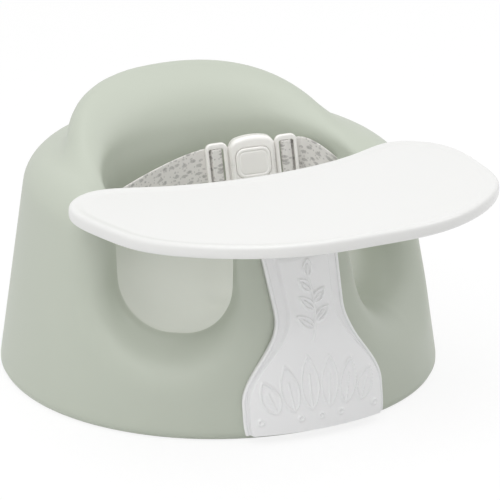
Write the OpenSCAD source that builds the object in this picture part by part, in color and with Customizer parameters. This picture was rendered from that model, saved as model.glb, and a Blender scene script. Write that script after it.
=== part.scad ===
// Baby floor seat: one moulded foam bowl seat, a lift-off play tray on a stem that
// straddles the front pommel, and a three-point harness with a push-button buckle.
// Millimetres, +Z up. The origin is the middle of the base, on the floor, and the
// child faces -Y. Every hand of a pair is mirrored on the plane X = 0.

/* [Foam seat] */
// Half width of the base, side to side
base_half = 193.5; // [185:0.5:200]
// Power of the plan curve of the base, where 2 is a plain circle
base_power = 2.06; // [2:0.02:2.4]
// How far the outer wall leans in for each millimetre of height
wall_lean = 0.14; // [0.08:0.01:0.18]
// Radius of the rounded bottom edge
base_round = 7.5; // [4:0.5:12]
// Height of the shoulders, the flat tops of the side walls
shoulder_height = 193.5; // [180:0.5:205]
// Rise of the shoulders for each millimetre towards the back
shoulder_rise = 0.03; // [0:0.01:0.1]
// Radius between the outer wall and the shoulders
shoulder_round = 28; // [20:1:40]

/* [Backrest and bowl] */
// Half width of the rim's plan curve
rim_half = 120; // [112:1:126]
// Reach of the rim's plan curve behind its centre
rim_back = 129; // [120:1:134]
// Reach of the bowl's plan curve in front of its centre
rim_front = 100; // [92:1:106]
// Place of the plan curve's centre, front to back
rim_centre = -17.5; // [-24:0.5:-10]
// Power of the rim's plan curve
rim_power = 2.25; // [2:0.05:2.6]
// Height of the seat at the top of the backrest
seat_height = 243.5; // [235:0.5:250]
// Drop of the rim from the back to the sides, even part
rim_fall = 38; // [30:1:44]
// Drop of the rim from the back to the sides, part that grows
rim_fall_more = 28; // [20:1:34]
// Radius of the rim's outer edge
rim_round = 13.6; // [10:0.1:18]
// Radius of the hollow where the backrest rises from the shoulders
valley_round = 16; // [8:1:30]
// Radius of the inner roll of the rim at the back
roll_back = 50; // [30:1:56]
// Radius of the inner roll of the rim at the sides
roll_side = 9; // [8:1:16]
// Height of the bowl's floor above the ground
bowl_floor = 50; // [42:1:60]
// Radius between the bowl's floor and its wall
bowl_round = 80; // [50:1:90]
// How far the bowl widens for each millimetre of height
bowl_draft = 0.14; // [0.05:0.01:0.2]

/* [Leg openings and pommel] */
// Angle between a leg channel and straight ahead
leg_angle = 35; // [28:1:40]
// Half width of a leg channel
leg_half = 51; // [44:1:54]
// Height of a channel's lip
leg_lip = 76; // [68:1:90]
// Height at which a channel's floor levels out inside the bowl
leg_level = 52; // [46:1:60]
// Radius in the bottom corners of a channel
leg_corner = 46; // [25:1:50]
// Radius of the soft outer edge of a channel
leg_soft = 24; // [16:1:28]
// Height of the pommel between the legs
pommel_height = 176; // [165:1:182]
// Lean of the pommel's upper front for each millimetre of height
pommel_lean = 0.4; // [0.3:0.02:0.5]

/* [Play tray] */
// Height of the tray's face at its middle
tray_height = 205.5; // [203:0.5:212]
// Rise of the tray for each millimetre towards the front
tray_rise = 0.058; // [0.03:0.001:0.08]
// Drop of the tray's ends below its middle
tray_crown = 4.7; // [0:0.1:6]
// Depth of the tray's rolled edge
tray_edge = 10; // [6:0.5:11]
// Thickness of the tray's sheet
tray_sheet = 3; // [2.5:0.5:4]
// Half width of the stem's foot
stem_foot = 66.3; // [60:0.1:74]
// Half width of the stem's waist
stem_waist = 32; // [28:0.5:40]
// Thickness of the stem at its edges
stem_flange = 5; // [4:0.5:8]
// Height of the stem's raised front panel over its edges
stem_panel = 4.5; // [3:0.5:6]

/* [Harness] */
// Width of the waist webbing
web_width = 30; // [28:1:34]
// Thickness of the webbing
web_thick = 1.6; // [1.2:0.1:2]
// Width of the crotch webbing
crotch_width = 25; // [20:1:28]
// Width of the buckle housing
buckle_width = 42; // [40:1:46]
// Height of the buckle housing
buckle_height = 48; // [46:1:54]
// Width of the release button
button_width = 31; // [28:0.5:32]
// Height of the release button
button_height = 27; // [24:0.5:28]

/* [Hidden] */

foam_colour = [0.74, 0.76, 0.71];
tray_colour = [0.96, 0.96, 0.95];
stem_colour = [0.90, 0.90, 0.91];
buckle_colour = [0.92, 0.91, 0.89];
web_colour = [0.77, 0.76, 0.74];
steel_colour = [0.70, 0.71, 0.73];

gap = 0.4;                      // running clearance between bodies

// ---------- the foam seat as a field of distances ----------
// Each function gives the distance of a point from a surface, below zero inside.

// Both at once, with the shared edge rounded to radius r
function round_and(a, b, r) = min(max(a, b), -r) + norm([max(a + r, 0), max(b + r, 0)]);
// Either one, with the shared corner filled to radius r
function round_or(a, b, r) = -round_and(-a, -b, r);
// The higher of two heights, with a soft turn between them
function level_off(a, b, soft) = (a + b + norm([a - b, soft])) / 2;
// Size of the oval through a point, as a share of the oval with half axes a and b
function oval(x, y, a, b, power) = pow(pow(abs(x) / a, power) + pow(abs(y) / b, power), 1 / power);

function drum(x, y, z) =
    let (wall = (oval(x, y, base_half, base_half, base_power) - 1) * base_half + wall_lean * z,
         top = z - shoulder_height - shoulder_rise * y)
    round_and(wall, top, shoulder_round);

bowl_ref = 190;                 // height at which the bowl has its plan size
spread_floor = 0.5;             // share of the plan curve inside which the rim's say fades

// The backrest wall with its rim, and the bowl scooped out of it and the drum
function shell(x, y, z) =
    let (dy = y - rim_centre,
         share = oval(x, dy, rim_half, dy > 0 ? rim_back : rim_front, rim_power),
         out = (share - 1) * rim_half,
         back = dy / rim_back / pow(pow(share, 5) + pow(spread_floor, 5), 0.2),
         crest = seat_height - rim_fall * (1 - back) - rim_fall_more * pow(1 - back, 2),
         curtain = round_and(out - rim_round, z - crest, rim_round),
         roll = roll_side + (roll_back - roll_side) * pow(max(min(back, 1), 0), 1.5),
         side = out + roll + bowl_draft * (bowl_ref - z),
         bowl = round_and(side, bowl_floor - z, bowl_round))
    round_and(round_or(drum(x, y, z), curtain, valley_round), -bowl, roll);

leg_origin = 17;                // where the channels' centre lines start, front to back
leg_shift = 7;                  // how far outward the channels lie from those lines
leg_start = 40;                 // where along its line each channel begins
leg_end_round = 50;             // radius where each channel begins
leg_crest = 158;                // where along its line the lip begins to fall inward
leg_fall = 0.5;                 // slope of the channel's floor behind the lip
leg_crest_round = 15;           // softness of the turn from lip to slope
pommel_break = 90;              // height where the pommel's front starts to lean more
pommel_reach = 180.9;           // distance of the pommel's front from the middle there
pommel_round = 18;              // radius of the pommel's top edge
pommel_side_round = 6;          // radius where the pommel's cut meets the channels

// The leg channels and the lowered pommel, cut out of the shell
function seat_field(x, y, z) =
    let (ax = abs(x), ry = y - leg_origin,
         along = ax * sin(leg_angle) - ry * cos(leg_angle),
         across = ax * cos(leg_angle) + ry * sin(leg_angle) - leg_shift,
         behind = max(leg_crest - along, 0),
         fall = leg_fall * (norm([behind, leg_crest_round]) - leg_crest_round),
         floor_z = level_off(leg_lip - 1.3 - fall, leg_level, 12),
         trough = round_and(abs(across) - leg_half, floor_z - z, leg_corner),
         channel = round_and(trough, leg_start - along, leg_end_round),
         brow = norm([x, y]) - pommel_reach + pommel_lean * (z - pommel_break),
         pommel = round_and(z - pommel_height, brow, pommel_round),
         waste = max(-pommel, across, leg_start - along),
         cut = round_and(shell(x, y, z), -channel, leg_soft),
         shaped = round_and(cut, -waste, pommel_side_round))
    round_and(shaped, -z, base_round);

// ---------- the foam seat's skin ----------
// In each of the upright planes round the axis, rays fan out from an eye inside the
// bowl to its floor and the foot of its wall. A spine climbs the middle of the wall:
// its rays turn from inward to upright at the rim and on to outward. Each ray runs
// until it meets the surface.
axis_y = -15;
eye_height = 120;               // height of the eye
spine_reach = 128;              // distance of the wall's spine from the axis
spine_foot = 30;                // height of the spine's foot
spine_head = 20;                // how far the spine stops below the crest
bowl_rays = 15;                 // rays from the eye
wall_rays = 15;                 // steps up the spine, with a ray on each side
low_steps = 8;                  // steps at the foot whose inner side the eye covers
// Spread of the planes over one half: from an angle, to an angle, in a number of steps
plane_spans = [[0, 15, 2], [15, 22, 4], [22, 23.5, 6], [23.5, 26, 4], [26, 60, 6],
               [60, 64.8, 3], [64.8, 66.2, 4], [66.2, 71.2, 6], [71.2, 72.8, 8],
               [72.8, 80, 3], [80, 180, 13]];
half_turns = [for (s = plane_spans, i = [0 : s[2] - 1]) s[0] + (s[1] - s[0]) * i / s[2]];
turns = concat(half_turns, [180], [for (i = [len(half_turns) - 1 : -1 : 1]) 360 - half_turns[i]]);

// Walk along a ray by the distance left to the surface, a number of times
function meet(p, d, steps) =
    steps == 0 ? p : meet(p - d * 0.9 * seat_field(p[0], p[1], p[2]), d, steps - 1);
function plane_point(turn, r, z) = [r * sin(turn), axis_y - r * cos(turn), z];
function plane_ray(turn, angle) = [cos(angle) * sin(turn), -cos(angle) * cos(turn), sin(angle)];

// How far a ray has turned towards upright at a share of the climb
function swing(t) = pow(max(0, (t - 0.45) / 0.55), 2);

// One ring of the skin: from the floor's middle over the rim to the base's middle
function ring(turn) =
    let (foot = plane_point(turn, spine_reach, spine_foot),
         top = meet(foot, [0, 0, 1], 40)[2],
         climb = max(top - spine_head - spine_foot, 6),
         low = 115 + 55 * min(climb / 70, 1),
         inner = [for (i = [low_steps : wall_rays])
             let (t = i / wall_rays)
             meet(foot + [0, 0, climb * t], plane_ray(turn, mix(low, 90, swing(t))), 32)],
         shelf = norm([inner[0][0], inner[0][1] - axis_y]),
         side = meet(foot, plane_ray(turn, 0), 26),
         reach = norm([side[0], side[1] - axis_y]) - spine_reach,
         edge = [[3, 12], [4, 7], [3.2, 3], [0, 0.6], [-6, 0], [-25, 0]])
    concat(
        [for (i = [1 : bowl_rays])
            let (run = (shelf + inner[0][2] - bowl_floor) * i / (bowl_rays + 1),
                 r = min(run, shelf),
                 fall = eye_height - bowl_floor - run + r)
            meet([0, axis_y, eye_height], plane_ray(turn, atan2(fall, -r)), 32)],
        inner,
        [for (i = [wall_rays - 1 : -1 : 0])
            let (t = i / wall_rays)
            meet(foot + [0, 0, climb * t], plane_ray(turn, 90 * swing(t)), 32)],
        [for (e = edge)
            meet(foot, plane_ray(turn, atan2(e[1] - spine_foot, reach + e[0])), 26)]);

module seat_body() {
    rings = [for (t = turns) ring(t)];
    count = len(rings);
    size = len(rings[0]);
    middle = meet([0, axis_y, eye_height], [0, 0, 1], 26);
    points = concat([for (r = rings) each r], [middle, [0, axis_y, 0]]);
    side = [for (j = [0 : count - 1], i = [0 : size - 2])
        let (a = j * size + i, b = (j + 1) % count * size + i)
        each [[a, b, b + 1], [a, b + 1, a + 1]]];
    caps = [for (j = [0 : count - 1])
        let (a = j * size, b = (j + 1) % count * size)
        each [[count * size, b, a], [count * size + 1, a + size - 1, b + size - 1]]];
    color(foam_colour) polyhedron(points, concat(side, caps), convexity = 8);
}

// ---------- shared helpers ----------
function bezier(a, b, c, d, t) =
    a * pow(1 - t, 3) + b * 3 * t * pow(1 - t, 2) + c * 3 * t * t * (1 - t) + d * pow(t, 3);
function unit(v) = v / norm(v);
function smooth(t) = let (u = max(min(t, 1), 0)) u * u * (3 - 2 * u);
function mix(a, b, t) = a + (b - a) * t;

// Triangles between neighbouring rings of equal counts, each ring closed
function sides(rows, n) = [for (j = [0 : rows - 2], i = [0 : n - 1])
    let (a = j * n + i, b = j * n + (i + 1) % n)
    each [[a, b, b + n], [a, b + n, a + n]]];

// Closed skin over a list of rings, with a point in the middle of each end
module loft(rings, first, last) {
    n = len(rings[0]);
    rows = len(rings);
    end = rows * n;
    polyhedron(concat([for (r = rings) each r], [first, last]),
               concat(sides(rows, n),
                      [for (i = [0 : n - 1]) [(i + 1) % n, i, end]],
                      [for (i = [0 : n - 1]) [end - n + i, end - n + (i + 1) % n, end + 1]]),
               convexity = 6);
}

// A flat band along points, its width along the paired vectors
module band(path, across, width, thick) {
    last = len(path) - 1;
    rings = [for (i = [0 : last])
        let (d = unit(path[min(i + 1, last)] - path[max(i - 1, 0)]),
             w = unit(across[i] - d * (across[i] * d)),
             a = w * width / 2, b = cross(d, w) * thick / 2)
        [path[i] - a - b, path[i] - a + b, path[i] + a + b, path[i] + a - b]];
    loft(rings, path[0], path[last]);
}

// Outline with round corners, in the plane of its two sizes
function round_outline(w, h, r) =
    [for (c = [[1, 1, 0], [-1, 1, 90], [-1, -1, 180], [1, -1, 270]], a = [0 : 15 : 90])
        [c[0] * (w / 2 - r) + r * cos(c[2] + a), c[1] * (h / 2 - r) + r * sin(c[2] + a)]];

// Block with round corners seen from the front, between two depths
module block(w, h, r, y0, y1) {
    translate([0, y1, 0]) rotate([90, 0, 0]) linear_extrude(y1 - y0) polygon(round_outline(w, h, r));
}

// ---------- the play tray ----------
// Half of the tray's outline, from the middle of the back to the middle of the front
tray_half = [[0, -96.5], [96, -74.8], [146.9, -54.4], [178.7, -78], [181.2, -151.4],
             [165.5, -209.1], [72.6, -289.4], [0, -298.6]];
tray_steps = 5;                 // points for each stretch of the outline
tray_knots = concat(tray_half,
                    [for (i = [len(tray_half) - 2 : -1 : 1]) [-tray_half[i][0], tray_half[i][1]]]);
function knot(i) = tray_knots[(i + len(tray_knots)) % len(tray_knots)];
// Smooth curve through the knots
function tray_curve(i, t) =
    let (a = knot(i - 1), b = knot(i), c = knot(i + 1), d = knot(i + 2),
         t1 = pow(norm(b - a), 0.6), t2 = t1 + pow(norm(c - b), 0.6), t3 = t2 + pow(norm(d - c), 0.6),
         u = mix(t1, t2, t),
         ab = mix(a, b, u / t1), bc = mix(b, c, (u - t1) / (t2 - t1)), cd = mix(c, d, (u - t2) / (t3 - t2)))
    mix(mix(ab, bc, u / t2), mix(bc, cd, (u - t1) / (t3 - t1)), (u - t1) / (t2 - t1));
tray_outline = [for (i = [0 : len(tray_knots) - 1], j = [0 : tray_steps - 1])
    tray_curve(i, j / tray_steps)];

tray_middle = [0, -180];
function tray_face(x, y) = tray_height - tray_rise * (y + 130) - tray_crown * pow(x / 190, 2);
function on_face(p, depth) = [p[0], p[1], tray_face(p[0], p[1]) - depth];

// The outline drawn in by a distance and then shrunk, a depth below the tray's face
function tray_ring(inset, depth, share = 1) =
    let (n = len(tray_outline))
    [for (i = [0 : n - 1])
        let (d = unit(tray_outline[(i + 1) % n] - tray_outline[(i + n - 1) % n]),
             p = tray_outline[i] + inset * [d[1], -d[0]])
        on_face(mix(tray_middle, p, share), depth)];

tray_dish = 0.6;                // how far the face lies below the nominal one
boss_places = [[-20, -132], [20, -132], [-18, -117], [18, -117]];
boss_radius = 4.5;
boss_foot = 181.6;              // height of the bosses' lower ends
screw_radius = 1.6;
head_radius = 3;

module tray_top() {
    color(tray_colour) difference() {
        union() {
            loft([tray_ring(tray_edge, tray_sheet, 0.4),
                  tray_ring(tray_edge, tray_sheet, 0.75),
                  tray_ring(tray_edge, tray_sheet),
                  tray_ring(3.6, tray_sheet + 0.4),
                  tray_ring(2.6, tray_edge - 0.6),
                  tray_ring(1.5, tray_edge),
                  tray_ring(0.3, tray_edge - 1.6),
                  tray_ring(0, tray_edge / 2),
                  tray_ring(0.8, 0.2),
                  tray_ring(2.6, -0.8),
                  tray_ring(6, -0.3),
                  tray_ring(6, tray_dish, 0.93),
                  tray_ring(6, tray_dish, 0.7),
                  tray_ring(6, tray_dish, 0.35)],
                 on_face(tray_middle, tray_sheet), on_face(tray_middle, tray_dish));
            for (p = boss_places)
                translate([p[0], p[1], boss_foot])
                    cylinder(r = boss_radius, h = tray_face(p[0], p[1]) - boss_foot - 1.5, $fn = 24);
        }
        for (p = boss_places)
            translate([p[0], p[1], boss_foot - 1])
                cylinder(r = screw_radius - 0.2, h = 15, $fn = 24);
    }
}

module tray_screws() {
    color(steel_colour) for (p = boss_places)
        translate([p[0], p[1], plate_under]) {
            translate([0, 0, 0.3]) cylinder(r = head_radius, h = 1.8, $fn = 24);
            translate([0, 0, 1.8]) cylinder(r = screw_radius, h = 14, $fn = 24);
        }
}

// ---------- the tray's stem ----------
// A thin moulding that follows the pommel's front from just above the floor, leans back
// with it and turns over its top into a plate that rests there under the tray. Each row
// is a thin section with turned-back edges and a raised panel.
plate_under = pommel_height + 0.3;
plate_end = 111;                // distance of the plate's rear edge from the middle
stem_low = 6.8;                 // height of the stem's lower edge
stem_wall = 3;
stem_lip = 1.5;                 // height of the beads along the stem's edges
plate_wall = 5;

// How far the superellipse plan lies outside a circle at an angle from the front
function plan_share(turn) = 1 / oval(sin(turn), cos(turn), 1, 1, base_power);
function stem_half(z) =
    stem_waist + (stem_foot - stem_waist) * smooth((105 - z) / 72)
    - 3.5 * pow(max(0, 1 - z / 18), 2) + 0.07 * max(0, z - 110);
// Distance of the pommel's front from the middle
function front_reach(z) =
    min(base_half - wall_lean * z, pommel_reach - pommel_lean * (z - pommel_break));
lean_turn = atan(pommel_lean);
// Middle of the pommel's rounded top edge
bend_z = pommel_height - pommel_round;
bend_r = front_reach(bend_z) - pommel_round / cos(lean_turn);

// Rows as [distance of the back face from the middle, height, tilt of its normal, panel share]
stem_path = concat(
    [for (z = [stem_low, 10, 15, 22, 32, 42, 52, 62, 72, 82, 90, 99, 110, 122, 135, 150])
        [front_reach(z) + gap, z, z < 86 ? 4 : lean_turn, smooth((158 - z) / 12)]],
    [for (a = [lean_turn, 38, 54, 72, 90])
        [bend_r + (pommel_round + gap) * cos(a), bend_z + (pommel_round + 0.3) * sin(a), a, 0]],
    [for (r = [126, plate_end]) [r, plate_under, 90, 0]]);

// One row: the outer and inner faces of the section, from edge to edge
function stem_ring(row) =
    let (z = row[1], half = stem_half(min(z, bend_z)),
         flange = mix(10.5, 4, smooth((112 - z) / 55)),
         slope = mix(5.5, 2.5, smooth((112 - z) / 55)),
         share = smooth((row[2] - lean_turn) / 50),
         stem_wall = mix(stem_wall, plate_wall, share),
         rise = stem_panel * row[3], base = (stem_flange - stem_wall) * (1 - share),
         s4 = max(half - flange - slope, 6),
         face = base + stem_wall, lip = face + stem_lip * (1 - share),
         outer = [[half, 0], [half, lip - 1], [half - 0.9, lip], [half - 2, lip],
                  [half - 3, face], [half - flange, face], [s4, face + rise]],
         inner = [[half - 2.4, 0], [half - 2.4, base * 0.7 + 0.01], [half - 2.8, base * 0.9 + 0.01],
                  [half - 3.4, base + 0.02], [half - 3.9, base + 0.02],
                  [half - flange - 1, base + 0.02], [s4 - 0.5, base + rise + 0.02]],
         right = concat(outer, [[0, base + stem_wall + rise + 0.4 * row[3]]]),
         middle_back = [0, base + rise + 0.02])
    concat([for (i = [0 : 6]) [-outer[i][0], outer[i][1]]],
           [for (i = [7 : -1 : 0]) right[i]],
           [for (i = [0 : 6]) inner[i]], [middle_back],
           [for (i = [6 : -1 : 0]) [-inner[i][0], inner[i][1]]]);

// A point of a row's section set out on the pommel's front
function stem_point(row, p) =
    let (turn = p[0] / row[0] * 180 / PI,
         r = (row[0] + p[1] * cos(row[2])) * plan_share(turn))
    [r * sin(turn), -r * cos(turn), row[1] + p[1] * sin(row[2])];

module tray_stem() {
    rings = [for (row = stem_path) [for (p = stem_ring(row)) stem_point(row, p)]];
    n = len(rings[0]);
    rows = len(rings);
    // The ends are thin strips between the outer and the inner face
    strip = [for (i = [0 : n / 2 - 2]) each [[i, i + 1, n - 2 - i], [i, n - 2 - i, n - 1 - i]]];
    top = (rows - 1) * n;
    skin = [for (f = sides(rows, n)) [f[0], f[2], f[1]]];
    color(stem_colour) difference() {
        polyhedron([for (r = rings) each r],
                   concat(skin, strip, [for (f = strip) [top + f[2], top + f[1], top + f[0]]]),
                   convexity = 8);
        for (p = boss_places)
            translate([p[0], p[1], plate_under]) {
                translate([0, 0, -5]) cylinder(r = screw_radius + 0.3, h = 15, $fn = 24);
                translate([0, 0, -5]) cylinder(r = head_radius + 0.3, h = 7.4, $fn = 24);
            }
    }
}

// ---------- the buckle ----------
// In the buckle's own frame +X runs along the belt to the child's left, +Y away from
// the button's face and +Z up.
buckle_place = [47.7, 27.3, 170];
buckle_turn = [-8, -4.5, -16];
function about_x(v, a) = [v[0], v[1] * cos(a) - v[2] * sin(a), v[1] * sin(a) + v[2] * cos(a)];
function about_y(v, a) = [v[0] * cos(a) + v[2] * sin(a), v[1], -v[0] * sin(a) + v[2] * cos(a)];
function about_z(v, a) = [v[0] * cos(a) - v[1] * sin(a), v[0] * sin(a) + v[1] * cos(a), v[2]];
function turned(v) = about_z(about_y(about_x(v, buckle_turn[0]), buckle_turn[1]), buckle_turn[2]);
function placed(v) = buckle_place + turned(v);
module at_buckle() {
    translate(buckle_place) rotate(buckle_turn) children();
}

front_depth = 8;                // front face ahead of the parting line
back_depth = 6.5;               // back face behind the parting line
shell_wall = 2;
mouth_half = 16.5;              // half height of the tongues' mouths
mouth_depth = 1.6;              // half depth of the mouths
button_travel = 2.5;

module buckle_outer(depth) {
    hull() {
        block(buckle_width, buckle_height, 10, -depth + 3.4, 0);
        block(buckle_width - 2, buckle_height - 2, 9, -depth + 1.2, 0);
        block(buckle_width - 7, buckle_height - 7, 7.5, -depth, 0);
    }
}

// Openings at the parting line: a mouth on each side and the slot for the crotch web
module buckle_mouths() {
    cube([buckle_width + 2, 2 * mouth_depth, 2 * mouth_half], center = true);
    translate([0, 0, -buckle_height / 2])
        cube([crotch_width + 1.4, 2 * mouth_depth, 8], center = true);
}

module buckle_front() {
    color(buckle_colour) at_buckle() difference() {
        buckle_outer(front_depth);
        block(buckle_width - 2 * shell_wall, buckle_height - 2 * shell_wall, 6,
              -front_depth + shell_wall, 1);
        block(button_width + 0.8, button_height + 0.8, 8.4, -front_depth - 1, 0);
        buckle_mouths();
    }
}

module buckle_back() {
    color(buckle_colour) at_buckle() {
        difference() {
            mirror([0, 1, 0]) buckle_outer(back_depth);
            block(buckle_width - 2 * shell_wall, buckle_height - 2 * shell_wall, 6,
                  -1, back_depth - shell_wall);
            buckle_mouths();
        }
        translate([0, back_depth - shell_wall + 0.5, 0]) rotate([90, 0, 0])
            cylinder(r = 3.2, h = 2.5, $fn = 32);
    }
}

module release_button() {
    color(buckle_colour) at_buckle() {
        difference() {
            block(button_width, button_height, 8, -front_depth - 1, -4.9);
            difference() {
                block(button_width - 4.6, button_height - 4.6, 6, -front_depth - 2, -front_depth - 0.5);
                block(button_width - 6, button_height - 6, 5.3, -front_depth - 3, -front_depth);
            }
        }
        block(button_width + 4, button_height + 4, 8.5, -front_depth + shell_wall + 0.3, -4.1);
        translate([0, -4.4, 0]) rotate([-90, 0, 0]) cylinder(r = 3.2, h = 2.5, $fn = 32);
    }
}

spring_radius = 4.2;
spring_wire = 0.45;
spring_start = -3.6;            // where the first coil's middle lies
spring_end = 4;                 // where the last coil's middle lies
spring_coils = 4;
module button_spring() {
    steps = 12;
    last = steps * spring_coils;
    path = [for (i = [0 : last])
        let (a = i * 360 / steps, y = mix(spring_start, spring_end, i / last))
        [spring_radius * cos(a), y, spring_radius * sin(a)]];
    rings = [for (i = [0 : last])
        let (a = i * 360 / steps, out = [cos(a), 0, sin(a)])
        [for (b = [300 : -60 : 0]) path[i] + spring_wire * (out * cos(b) + [0, 1, 0] * sin(b))]];
    color(steel_colour) at_buckle() loft(rings, path[0], path[last]);
}

// ---------- the tongues ----------
tongue_near = 21.5;             // frame's edge beside the buckle
tongue_far = 41;                // frame's outer edge
tongue_half = 20;               // half height of the frame
tongue_thick = 5;
blade_reach = 14;               // how far in the blade's tip lies
bar_place = 31.5;                 // middle of the adjuster bar

// The tongue on the +X side, in the buckle's frame
module tongue() {
    mid = (tongue_near + tongue_far) / 2;
    difference() {
        translate([mid, 0, 0]) block(tongue_far - tongue_near, 2 * tongue_half, 4,
                                     -tongue_thick / 2, tongue_thick / 2);
        translate([mid + 0.25, 0, 0]) block(13.5, 32, 2, -tongue_thick, tongue_thick);
    }
    translate([bar_place, 0, 0]) cube([2.4, 2.6, 33], center = true);
    translate([(blade_reach + tongue_near + 1) / 2, 0, 0]) difference() {
        cube([tongue_near + 1 - blade_reach, 2, 31], center = true);
        cube([3, 3, 11], center = true);
    }
}

module tongue_left() {
    color(buckle_colour) at_buckle() mirror([1, 0, 0]) tongue();
}
module tongue_right() {
    color(buckle_colour) at_buckle() tongue();
}

// ---------- the webbing ----------
// Turn of the waist webbing round an adjuster bar, in the buckle's frame on the +X side
wrap = [[45.5, 5.9], [40.5, 5.7], [36, 5.3], [31, 4.2], [27.9, 2.6], [27.3, 0], [28.4, -2.2],
        [30.5, -2.9], [32.7, -2.9], [34.7, -2.2], [35.6, 0], [36.3, 2.4], [38.8, 3.75], [42.5, 3.8]];
function wrap_path(hand) = [for (p = wrap) placed([hand * p[0], p[1], 0])];
web_up = turned([0, 0, 1]);

web_steps = 14;
module waist_web(hand, b, c, d, low) {
    start = placed([hand * 45, 3.8, 0]);
    run = [for (i = [0 : web_steps]) bezier(start, b, c, d, i / web_steps)];
    across = concat([for (p = wrap) web_up],
                    [for (i = [0 : web_steps]) mix(web_up, low, smooth(i / web_steps))]);
    band(concat(wrap_path(hand), run), across, web_width, web_thick);
}

// Where the waist webs end inside the foam, and the directions they arrive from
left_end = [-126, -14, 152];
left_near = [-72, 24, 158];
right_end = [107, 28, 133];
right_near = [110, -39, 169];

module strap_left() {
    color(web_colour) waist_web(-1, placed([-62, 5, -2]), left_near, left_end, [0.05, 0, 1]);
}
module strap_right() {
    color(web_colour) waist_web(1, placed([51, 5.8, 0]), right_near, right_end, [0, 0.3, 1]);
}

crotch_end = [0, -122, 88];
crotch_near = [6, -74, 56];
crotch_steps = 22;
module crotch_strap() {
    path = [for (i = [0 : crotch_steps])
        bezier(placed([0, 0, -20]), placed([0, -1, -88]), crotch_near, crotch_end, i / crotch_steps)];
    across = [for (i = [0 : crotch_steps]) mix(turned([1, 0, 0]), [1, 0, 0], smooth(i / crotch_steps))];
    color(web_colour) band(path, across, crotch_width, web_thick);
}

// ---------- the anchors moulded into the foam ----------
// A plate with a slot, square to the web that passes through it
module anchor(end, from, width, up) {
    d = unit(end - from);
    turn = atan2(d[1], d[0]);
    lift = asin(d[2]);
    translate(end - d * 5) rotate([0, -lift, turn]) rotate([up, 0, 0]) difference() {
        rotate([0, 90, 0]) translate([0, 0, -1.5]) linear_extrude(3)
            polygon(round_outline(width + 6, 12, 2));
        cube([8, web_thick + 1.2, width + 1.2], center = true);
    }
}
module anchor_left() {
    color(steel_colour) anchor(left_end, left_near, web_width, 0);
}
module anchor_right() {
    color(steel_colour) anchor(right_end, right_near, web_width, 0);
}
module anchor_crotch() {
    color(steel_colour) anchor(crotch_end, crotch_near, crotch_width, 90);
}

seat_body();
anchor_left();
anchor_right();
anchor_crotch();
strap_left();
strap_right();
crotch_strap();
buckle_front();
buckle_back();
release_button();
button_spring();
tongue_left();
tongue_right();
tray_top();
tray_stem();
tray_screws();
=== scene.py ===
"""A baby floor seat in moulded foam with a lift-off play tray and a buckled harness."""
import math

import bmesh
import bpy
import numpy as np
from mathutils import Matrix, Vector


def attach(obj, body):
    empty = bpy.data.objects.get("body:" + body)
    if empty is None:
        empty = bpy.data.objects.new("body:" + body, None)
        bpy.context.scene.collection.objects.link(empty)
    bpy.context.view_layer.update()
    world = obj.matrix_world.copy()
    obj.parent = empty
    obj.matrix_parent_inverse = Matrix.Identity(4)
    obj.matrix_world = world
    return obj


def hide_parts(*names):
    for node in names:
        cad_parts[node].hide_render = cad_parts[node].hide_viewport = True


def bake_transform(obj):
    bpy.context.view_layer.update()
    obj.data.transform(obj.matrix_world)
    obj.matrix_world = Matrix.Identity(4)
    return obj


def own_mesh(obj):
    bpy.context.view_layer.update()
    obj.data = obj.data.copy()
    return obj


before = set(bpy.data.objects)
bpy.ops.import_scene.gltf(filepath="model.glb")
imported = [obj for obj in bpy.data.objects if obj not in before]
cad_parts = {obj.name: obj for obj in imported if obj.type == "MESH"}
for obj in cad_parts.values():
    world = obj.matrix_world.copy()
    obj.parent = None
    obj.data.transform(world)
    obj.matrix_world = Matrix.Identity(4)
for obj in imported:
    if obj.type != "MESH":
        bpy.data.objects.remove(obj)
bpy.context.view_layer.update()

MM = 0.001


# ---------- camera ----------
# The camera stands square to the photograph's middle, far back on a long lens.
VIEW_TURN = math.radians(-26.46)
VIEW_RISE = math.radians(20.45)
VIEW_DISTANCE = 4.0
VIEW_RIGHT = 0.0285
VIEW_UP = 0.0958
FOCAL_PIXELS = 4478.86
IMAGE_SIZE = 500
SENSOR = 36.0


def make_camera():
    back = Vector((math.sin(VIEW_TURN) * math.cos(VIEW_RISE),
                   -math.cos(VIEW_TURN) * math.cos(VIEW_RISE), math.sin(VIEW_RISE)))
    right = Vector((math.cos(VIEW_TURN), math.sin(VIEW_TURN), 0))
    up = back.cross(right)
    data = bpy.data.cameras.new("camera")
    data.sensor_width = SENSOR
    data.lens = FOCAL_PIXELS * SENSOR / IMAGE_SIZE
    data.clip_end = 50
    camera = bpy.data.objects.new("camera", data)
    turn = Matrix((right, up, back)).transposed()
    place = right * VIEW_RIGHT + up * VIEW_UP + back * VIEW_DISTANCE
    camera.matrix_world = Matrix.Translation(place) @ turn.to_4x4()
    bpy.context.collection.objects.link(camera)
    bpy.context.scene.camera = camera


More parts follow.
